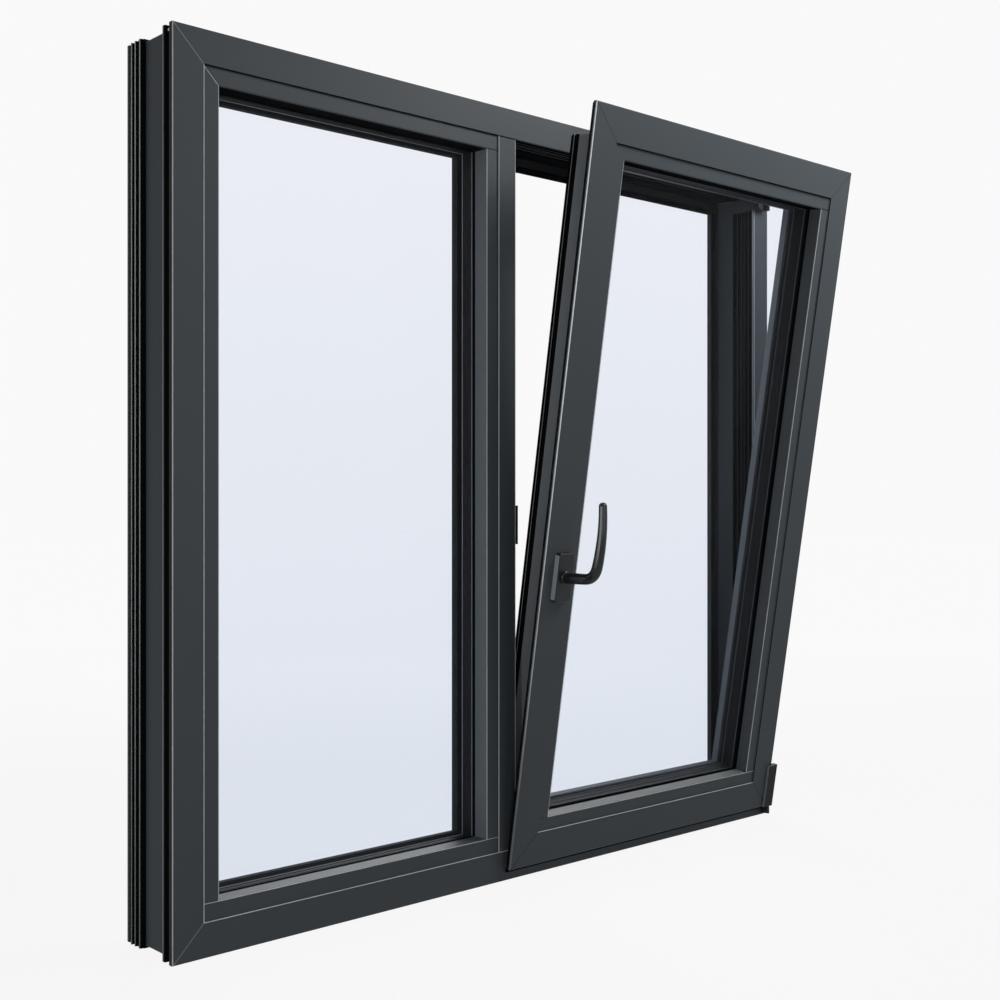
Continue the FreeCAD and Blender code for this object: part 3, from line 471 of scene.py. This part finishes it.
face = frameLow[1] * 1000
beadFace = around("fixed_bead_left")[2] * 1000
seamL, glassL = (v * 1000 for v in around("fixed_bead_left")[:2])
glassR, seamR = (v * 1000 for v in around("fixed_bead_right")[:2])
seamB, glassB = (v * 1000 for v in around("fixed_bead_bottom")[4:])
glassT, seamT = (v * 1000 for v in around("fixed_bead_top")[4:])
outL, outB, outT = frameLow[0] * 1000, frameLow[2] * 1000, frameHigh[2] * 1000
mullionAt = points("mullion") * 1000
mullionR = mullionAt[mullionAt[:, 1] < face + 2, 0].max()
openR = -seamL   # the frame is the same at both sides
armFoot = around("stay_arm")[4] * 1000 - 2   # what lines the right jamb ends just under the folded arm
sillAt = points("frame_sill") * 1000
stopTop = sillAt[:, 2].max()
stopFront = sillAt[sillAt[:, 2] > stopTop - 0.1, 1].min() + 0.6
frameEdges = dict(   # two end points in mm for each run, a little inside the edge that it rounds
    # painted highlights: light rods on the frame's outer edge, seams, bead edges and sill stop
    bold=dict(radius=0.8, runs=[((outL + 0.8, face + 0.8, outB + 1), (outL + 0.8, face + 0.8, outT - 1))]),
    seam=dict(radius=0.6, runs=[
        ((seamL, face + 0.2, seamB), (seamL, face + 0.2, seamT)),
        ((seamL, face + 0.2, seamB), (mullionR, face + 0.2, seamB)),
        ((seamR, face + 0.2, seamB), (seamR, face + 0.2, seamT)),
        ((glassR + 0.5, beadFace + 0.5, glassB), (glassR + 0.5, beadFace + 0.5, glassT)),
    ]),
    fine=dict(radius=0.45, runs=[
        ((glassL - 0.3, beadFace + 0.3, glassB), (glassL - 0.3, beadFace + 0.3, glassT)),
        ((seamL, beadFace + 0.1, glassB), (glassL, beadFace + 0.1, glassB)),
        ((glassR, beadFace + 0.1, glassB), (seamR, beadFace + 0.1, glassB)),
        ((seamL, beadFace + 0.1, seamT), (glassL, beadFace + 0.1, glassT)),
        ((glassL, beadFace + 0.3, glassB - 0.3), (glassR, beadFace + 0.3, glassB - 0.3)),
        ((mullionR - 0.3, face + 0.3, seamB), (mullionR - 0.3, face + 0.3, seamT)),
        ((openR + 0.4, face + 0.2, seamB), (openR + 0.4, face + 0.2, armFoot)),
        ((openR + 5, face + 0.2, seamB), (openR + 5, face + 0.2, armFoot)),
    ]),
    sill=dict(radius=0.9, runs=[((glassL, stopFront, stopTop), (glassR, stopFront, stopTop))]),
    # painted shadow: a black rod along the head seam
    shadowLine=dict(radius=0.7, runs=[
        ((seamL, face + 0.4, seamT), (mullionR, face + 0.4, seamT)),
    ]),
)
# light rods are painted highlights; black rods are painted shadow lines
edgeMats = dict(
    bold=brightHighlight, seam=brightHighlight, fine=brightHighlight, lip=glintHighlight,
    sill=softHighlight, cover=softHighlight, shadowLine=sealRubber, contactShadow=sealRubber,
)
for kind, edge in frameEdges.items():
    addPiece("frameEdge_" + kind, *rods(edge["runs"], edge["radius"]), edgeMats[kind], "frame", "frame_coat")

lipL, lipB, lipT, lipFace = sashLow[0] * 1000, sashLow[2] * 1000, sashHigh[2] * 1000, sashLow[1] * 1000
sashBeadFace = aroundSash("sash_bead_left")[2] * 1000
sashSeamL, sashGlassL = (v * 1000 for v in aroundSash("sash_bead_left")[:2])
sashGlassR, sashSeamR = (v * 1000 for v in aroundSash("sash_bead_right")[:2])
sashSeamB, sashGlassB = (v * 1000 for v in aroundSash("sash_bead_bottom")[4:])
sashGlassT, sashSeamT = (v * 1000 for v in aroundSash("sash_bead_top")[4:])
coverL, coverR, coverFace = (v * 1000 for v in aroundSash("hinge_cover")[:3])
coverB, coverT = (v * 1000 for v in aroundSash("hinge_cover")[4:])
sashEdges = dict(
    # painted highlights: light rods on the sash's lip edge, bottom seam, bead edges and the hinge cover's top
    lip=dict(radius=1.0, runs=[((lipL + 1.0, lipFace + 1.0, lipB + 1), (lipL + 1.0, lipFace + 1.0, lipT - 1))]),
    # painted shadow: two black rods under the lip's foot, in place of the shadow it casts on the sill
    contactShadow=dict(radius=1.6, runs=[
        ((lipL + 2, lipFace + 9.5, lipB - down), (sashHigh[0] * 1000 - 2, lipFace + 9.5, lipB - down))
        for down in (2.6, 5.0)
    ]),
    seam=dict(radius=0.6, runs=[
        ((sashSeamL, lipFace + 0.2, sashSeamB), (sashSeamR, lipFace + 0.2, sashSeamB)),
        ((sashGlassR + 0.5, sashBeadFace + 0.5, sashGlassB), (sashGlassR + 0.5, sashBeadFace + 0.5, sashGlassT)),
    ]),
    fine=dict(radius=0.4, runs=[
        ((sashGlassL - 0.3, sashBeadFace + 0.3, sashGlassB), (sashGlassL - 0.3, sashBeadFace + 0.3, sashGlassT)),
        ((sashGlassR, sashBeadFace + 0.1, sashGlassB), (sashSeamR, sashBeadFace + 0.1, sashGlassB)),
        ((sashGlassL, sashBeadFace + 0.3, sashGlassB - 0.3), (sashGlassR, sashBeadFace + 0.3, sashGlassB - 0.3)),
    ]),
    # painted shadow lines: black rods on the sash's top and right seams and at the hinge cover's sides
    shadowLine=dict(radius=0.7, runs=[
        ((sashSeamL, lipFace + 0.4, sashSeamT), (sashSeamR, lipFace + 0.4, sashSeamT)),
        ((sashSeamR, lipFace + 0.4, sashSeamB), (sashSeamR, lipFace + 0.4, sashSeamT)),
        ((coverL - 0.4, lipFace + 0.3, coverB), (coverL - 0.4, lipFace + 0.3, coverT)),
        ((coverR - 0.8, coverFace + 0.4, coverB), (coverR - 0.8, coverFace + 0.4, coverT)),
    ]),
    cover=dict(radius=0.5, runs=[
        ((coverL + 0.4, coverFace + 0.4, coverT - 0.4), (coverR - 6, coverFace + 0.4, coverT - 0.4)),
    ]),
)
for kind, edge in sashEdges.items():
    verts, quads, caps = rods(edge["runs"], edge["radius"])
    addPiece("sashEdge_" + kind, leaned(verts), quads, caps, edgeMats[kind], "sash", "frame_coat")
# painted highlight: a light line along the sash's edge seal
sealHighlightLook = dict(inset=0.4, depth=9, radius=0.5)
verts, quads = hoop(aroundSash("sash_edge_seal"), roundBead(**sealHighlightLook))
addPiece("sashSealHighlight", leaned(verts), quads, [], softHighlight, "sash", "black_seal")
print("edges made")


# ribbed black lining of the opening, and the keep on the mullion

liningLook = dict(
    profile=[(-0.5, 3), (0.8, 3), (1.1, 4), (1.1, 9), (0.3, 10), (0.3, 17), (1.1, 18), (1.1, 24), (0.3, 25),
             (0.3, 32), (1.1, 33), (1.1, 42), (0.8, 43), (-0.5, 43)],
    lines=(9.2, 18, 24.2, 33), inset=1.1, radius=0.4,
)
openBox = (mullionR / 1000, openR / 1000, frameLow[1], frameHigh[1], seamB / 1000, seamT / 1000)


def makeLining(name, profile, mat):
    # the hoop's formula on an open run that leaves the right side free where the stay arm folds in
    p = np.asarray(profile, float) / 1000
    low, high = openBox[0] + p[:, 0], openBox[1] - p[:, 0]
    foot, top = openBox[4] + p[:, 0], openBox[5] - p[:, 0]
    x = np.stack([high, high, low, low, np.full(len(p), openBox[1])])
    z = np.stack([np.full(len(p), armFoot / 1000), foot, foot, top, top])
    y = np.broadcast_to(openBox[2] + p[:, 1], x.shape)
    verts = np.stack([x, y, z], -1).reshape(-1, 3)
    addPiece(name, verts, gridQuads(5, len(p)), endCaps(5, len(p)), mat, "frame", "black_seal")


makeLining("openingLining", liningLook["profile"], sealRubber)
# painted highlights: faint light lines along the lining's ribs
for k, depth in enumerate(liningLook["lines"]):
    makeLining("liningHighlight%d" % k, roundBead(liningLook["inset"], depth, liningLook["radius"]), faintHighlight)

keepLook = dict(
    section=[(-1, 1), (6, 1), (7, 2), (7, 7.5), (6, 8.5), (-1, 8.5)],   # out from the mullion, back from its face
    foot=494, top=552,
)


def makeKeep(look):   # a straight piece: the section carried from the foot to the top
    out, back = np.array(look["section"], float).T
    n = len(out)
    rows = [np.stack([mullionR + out, face + back, np.full(n, z)], -1) for z in (look["foot"], look["top"])]
    verts = np.concatenate(rows) / 1000
    addPiece("keepCover", verts, gridQuads(2, n), endCaps(2, n), blackPlastic, "frame", "hardware")


makeKeep(keepLook)
print("lining and keep made")


# handle lever: an oval section carried along a neck, a bend and a long slow curve

leverLook = dict(
    lift=9, lean=7,   # degrees from level at the neck, and from upright where the grip starts
    neck=36.5, bend=26, grip=280, length=122, gap=0.6,   # mm, with bend and grip as radii
    steps=120, sides=56,
    # share of the run, half width and half thickness in mm
    taper=[(0, 8.4, 8.2), (0.22, 8.2, 8.0), (0.42, 8.0, 7.8), (0.6, 7.5, 7.1), (0.8, 6.9, 6.1), (1, 6.2, 5.4)],
    tip=6.0, tipPower=2.4, tipLeast=0.0004,
    flat=0.93, flatFacing=(0.93, -0.368),   # a narrow flat on each side, as a share of the half width
    collarGap=0.3, collarSides=48, collarBore=0.05,
    collar=[(0, 0), (9.4, 0), (10, 0.6), (10, 1.6), (9.4, 2.2), (8.9, 2.5), (8.5, 4.5), (0, 4.5)],
)
axisAt = upright(np.array(joints["handle_turn"]["pos_m"], float))
rosetteFace = aroundSash("handle_rosette")[2]


def makeLever(look):
    # heading runs from the lift through the bend to the lean, so the centre line is the running sum of
    # (cos heading, sin heading); the section is (width cos a, thickness sin a), shrunk to nothing at the tip
    # and cut back to a line wherever it reaches past a flat
    lift, upTo = math.radians(look["lift"]), math.radians(90 - look["lean"])
    bendRun = look["bend"] * (upTo - lift)
    bendTop = look["neck"] * math.tan(lift) + look["bend"] * (math.cos(lift) - math.cos(upTo))
    gripRun = look["length"] - bendTop
    total = look["neck"] / math.cos(lift) + bendRun + gripRun
    run = np.linspace(0, total, look["steps"])
    start = look["neck"] / math.cos(lift)
    inBend = np.clip((run - start) / bendRun, 0, 1)
    inBend = inBend * inBend * (3 - 2 * inBend) * 0.5 + inBend * 0.5
    heading = lift + (upTo - lift) * inBend + np.clip(run - start - bendRun, 0, None) / look["grip"]
    step = run[1] - run[0]
    out = np.concatenate([[0], np.cumsum(np.cos(heading[:-1]) * step)])
    up = np.concatenate([[0], np.cumsum(np.sin(heading[:-1]) * step)])
    share, wide, thick = np.array(look["taper"]).T
    inTip = np.clip((run - total + look["tip"]) / look["tip"], 0, 1)
    shrink = np.sqrt(np.clip(1 - inTip ** look["tipPower"], look["tipLeast"], 1))
    wide = np.interp(run / total, share, wide) * shrink
    thick = np.interp(run / total, share, thick) * shrink
    turn = np.linspace(0, 2 * np.pi, look["sides"], endpoint=False)
    across = wide[:, None] * np.cos(turn)
    rise = thick[:, None] * np.sin(turn)
    facing = look["flatFacing"]
    for side in (-1, 1):
        past = across * side * facing[0] + rise * facing[1] - look["flat"] * wide[:, None]
        past = np.clip(past, 0, None)
        across, rise = across - past * side * facing[0], rise - past * facing[1]
    o = look["gap"] + out[:, None] - rise * np.sin(heading)[:, None]
    u = up[:, None] + rise * np.cos(heading)[:, None]
    verts = np.stack([axisAt[0] + across / 1000, rosetteFace - o / 1000, axisAt[2] + u / 1000], -1)
    grid = look["steps"], look["sides"]
    addPiece(
        "leverGrip", leaned(verts.reshape(-1, 3)), gridQuads(*grid), endCaps(*grid), handleCoat,
        "handle", "handle_coat", ["handle_lever"], 60,
    )


def makeCollar(look):   # turned ring: radius and height swept once round the handle's axis
    r, h = np.array(look["collar"], float).T
    turn = np.linspace(0, 2 * np.pi, look["collarSides"], endpoint=False)
    r = np.clip(r, look["collarBore"], None)
    x = axisAt[0] + r[None] * np.cos(turn)[:, None] / 1000
    z = axisAt[2] + r[None] * np.sin(turn)[:, None] / 1000
    y = np.broadcast_to(rosetteFace - (look["collarGap"] + h) / 1000, x.shape)
    verts = np.stack([x, y, z], -1).reshape(-1, 3)
    quads = gridQuads(look["collarSides"], len(r), closeRows=True)
    addPiece("leverCollar", leaned(verts), quads, [], handleCoat, "handle", "handle_coat")


makeLever(leverLook)
makeCollar(leverLook)
print("lever made")


# end pin of the channel seal, at the top of each jamb

pinLook = dict(radius=2.1, dome=0.9, down=7.0, back=14.0, inset=3, round=0.97, rings=5, sides=16)


def makePins(look):   # a dome: radius cos b, height sin b
    b = np.linspace(0, np.pi / 2 * look["round"], look["rings"])
    turn = np.linspace(0, 2 * np.pi, look["sides"], endpoint=False)
    r, h = look["radius"] * np.cos(b), look["dome"] * np.sin(b)
    y = frameLow[1] + (look["back"] + r[:, None] * np.cos(turn)) / 1000
    z = frameHigh[2] - (look["down"] + r[:, None] * np.sin(turn)) / 1000
    inward = (look["inset"] - h) / 1000
    grid = look["rings"], look["sides"]
    for name, x in (("sealPinLeft", frameLow[0] + inward), ("sealPinRight", frameHigh[0] - inward)):
        verts = np.stack([np.broadcast_to(x[:, None], y.shape), y, z], -1).reshape(-1, 3)
        addPiece(name, verts, gridQuads(*grid), endCaps(*grid), zincSteel, "frame", "hardware")


makePins(pinLook)
print("pins made")


# stage: pale floor, soft lamps, white surround, camera

floorLook = dict(size=30.0, matt=0.35, glow=1.0, near=0.9, far=0.95, fadeFrom=1.0, fadeTo=3.5)


def seenRay(tree, links):   # one for rays that show the surround: straight, mirrored or through glass
    path = tree.new("ShaderNodeLightPath")
    total = path.outputs["Is Camera Ray"]
    for name in ("Is Glossy Ray", "Is Transmission Ray"):
        either = tree.new("ShaderNodeMath")
        either.operation = "MAXIMUM"
        links.new(total, either.inputs[0])
        links.new(path.outputs[name], either.inputs[1])
        total = either.outputs[0]
    return total


def makeFloor(look, level):
    h = look["size"] / 2
    mesh = bpy.data.meshes.new("floor")
    mesh.from_pydata([(-h, -h, level), (h, -h, level), (h, h, level), (-h, h, level)], [], [(0, 1, 2, 3)])
    floor = bpy.data.objects.new("floor", mesh)
    bpy.context.scene.collection.objects.link(floor)
    mat = bpy.data.materials.new("paleFloor")
    mat.use_nodes = True
    tree, links = mat.node_tree.nodes, mat.node_tree.links
    tree.remove(tree["Principled BSDF"])
    matt = tree.new("ShaderNodeBsdfDiffuse")
    matt.inputs["Color"].default_value = (look["matt"],) * 3 + (1,)
    glow = tree.new("ShaderNodeEmission")
    glow.inputs["Color"].default_value = (look["glow"],) * 3 + (1,)
    place = tree.new("ShaderNodeTexCoord")
    reach = tree.new("ShaderNodeVectorMath")
    reach.operation = "LENGTH"
    fade = tree.new("ShaderNodeMapRange")
    fade.inputs["From Min"].default_value = look["fadeFrom"]
    fade.inputs["From Max"].default_value = look["fadeTo"]
    fade.inputs["To Min"].default_value = look["near"]
    fade.inputs["To Max"].default_value = look["far"]
    mix = tree.new("ShaderNodeMixShader")
    links.new(place.outputs["Object"], reach.inputs[0])
    links.new(reach.outputs["Value"], fade.inputs["Value"])
    links.new(maths(mat, "MULTIPLY", fade.outputs["Result"], seenRay(tree, links)), mix.inputs["Fac"])
    links.new(matt.outputs[0], mix.inputs[1])
    links.new(glow.outputs[0], mix.inputs[2])
    links.new(mix.outputs[0], tree["Material Output"].inputs["Surface"])
    mesh.materials.append(mat)


worldLook = dict(shown=0.95, ambient=0.06)


def makeWorld(look):
    world = bpy.data.worlds.new("surround")
    bpy.context.scene.world = world
    world.use_nodes = True
    tree, links = world.node_tree.nodes, world.node_tree.links
    back = tree["Background"]
    back.inputs["Color"].default_value = (1, 1, 1, 1)
    level = tree.new("ShaderNodeMapRange")
    level.inputs["To Min"].default_value = look["ambient"]
    level.inputs["To Max"].default_value = look["shown"]
    links.new(seenRay(tree, links), level.inputs["Value"])
    links.new(level.outputs["Result"], back.inputs["Strength"])


lamps = [
    dict(name="keySoftbox", at=(0.8, -0.8, 1.7), to=(0.4, 0.0, 0.9), size=0.6, watts=20),
    dict(name="topSoftbox", at=(-0.1, -0.8, 1.7), to=(0.0, 0.0, 1.0), size=0.6, watts=1.5),
    dict(name="frontFill", at=(0.3, -2.4, 0.9), to=(0.2, 0.0, 0.6), size=1.5, watts=12.2),
    dict(name="cornerFill", at=(-1.3, -1.6, 0.55), to=(-0.5, 0.0, 0.55), size=0.7, watts=9.5),
    dict(name="leftStrip", at=(-2.5, -0.25, 0.45), to=(0.0, -0.2, 0.45), size=0.3, tall=0.85, watts=8.5),
    dict(name="backFill", at=(1.6, 2.2, 1.6), to=(0.2, 0.0, 0.6), size=1.5, watts=60),
]


def makeLamp(look):
    data = bpy.data.lights.new(look["name"], "AREA")
    data.energy = look["watts"]
    data.shape = "RECTANGLE"
    data.size, data.size_y = look["size"], look.get("tall", look["size"])
    lamp = bpy.data.objects.new(look["name"], data)
    lamp.location = look["at"]
    lamp.rotation_mode = "QUATERNION"
    lamp.rotation_quaternion = (Vector(look["to"]) - Vector(look["at"])).to_track_quat("-Z", "Y")
    lamp.visible_camera = lamp.visible_transmission = False
    bpy.context.scene.collection.objects.link(lamp)


cameraLook = dict(
    at=(-1.43889, -1.51222, 0.56508), yaw=41.6493,
    sensor=36, lens=48.806, shift=(0.0408, -0.0032), far=100,
)


def makeCamera(look):
    data = bpy.data.cameras.new("camera")
    data.sensor_width = look["sensor"]
    data.lens = look["lens"]
    data.shift_x, data.shift_y = look["shift"]
    data.clip_end = look["far"]
    cam = bpy.data.objects.new("camera", data)
    cam.location = look["at"]
    cam.rotation_euler = (math.pi / 2, 0, -math.radians(look["yaw"]))
    bpy.context.scene.collection.objects.link(cam)
    bpy.context.scene.camera = cam


makeFloor(floorLook, float(frameLow[2]))
makeWorld(worldLook)
for lamp in lamps:
    makeLamp(lamp)
makeCamera(cameraLook)
bpy.context.scene.view_settings.view_transform = "Standard"
print("stage set")
